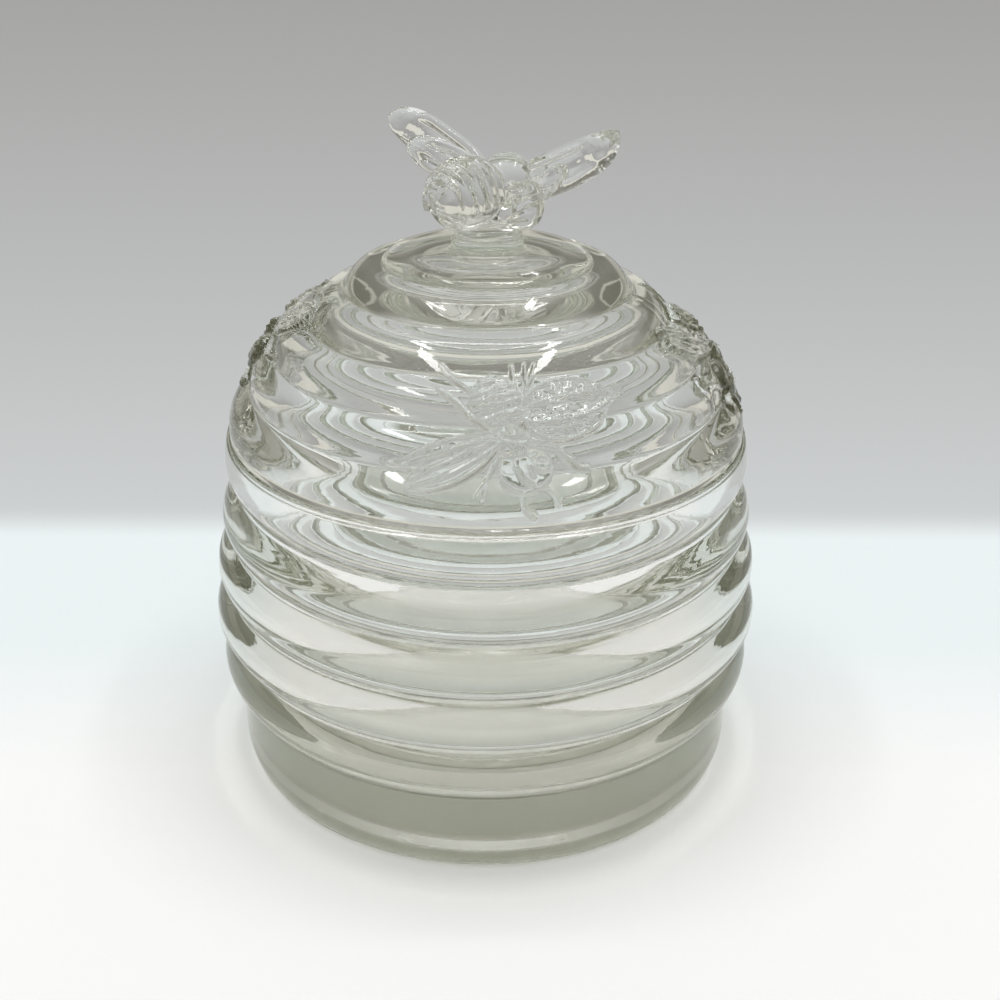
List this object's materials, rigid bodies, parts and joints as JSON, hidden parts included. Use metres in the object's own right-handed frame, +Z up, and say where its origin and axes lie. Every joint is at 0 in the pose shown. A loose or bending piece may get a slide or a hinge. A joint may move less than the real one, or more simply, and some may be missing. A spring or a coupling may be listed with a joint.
{
  "type": "glass honey jar",
  "caption": "Pressed-glass beehive honey jar: ribbed jar on a plain foot, stepped dome lid that lifts off, bees in relief and a glass bee as the lid's handle.",
  "frame": {"origin": "middle of the jar's foot, on the surface that it stands on", "axes": "+Z up through the jar and the lid, -Y towards the side that the picture shows, +X to that side's right"},
  "size_m": [0.106, 0.106, 0.1221],
  "materials": {
    "jar_glass": "clear pressed glass, fire polished, faint grey-green tint in the thick foot",
    "lid_glass": "clear pressed glass with stepped bands and moulded bees",
    "bee_glass": "clear pressed glass, fused to the lid while hot"
  },
  "bodies": {
    "jar": {"jar_body": "jar_glass"},
    "lid": {"lid_dome": "lid_glass", "bee_finial": "bee_glass"}
  },
  "joints": [
    {"name": "lid_lift", "type": "slide", "parent": "jar", "child": "lid", "axis": [0, 0, 1], "range_m": [0, 0.08]}
  ]
}
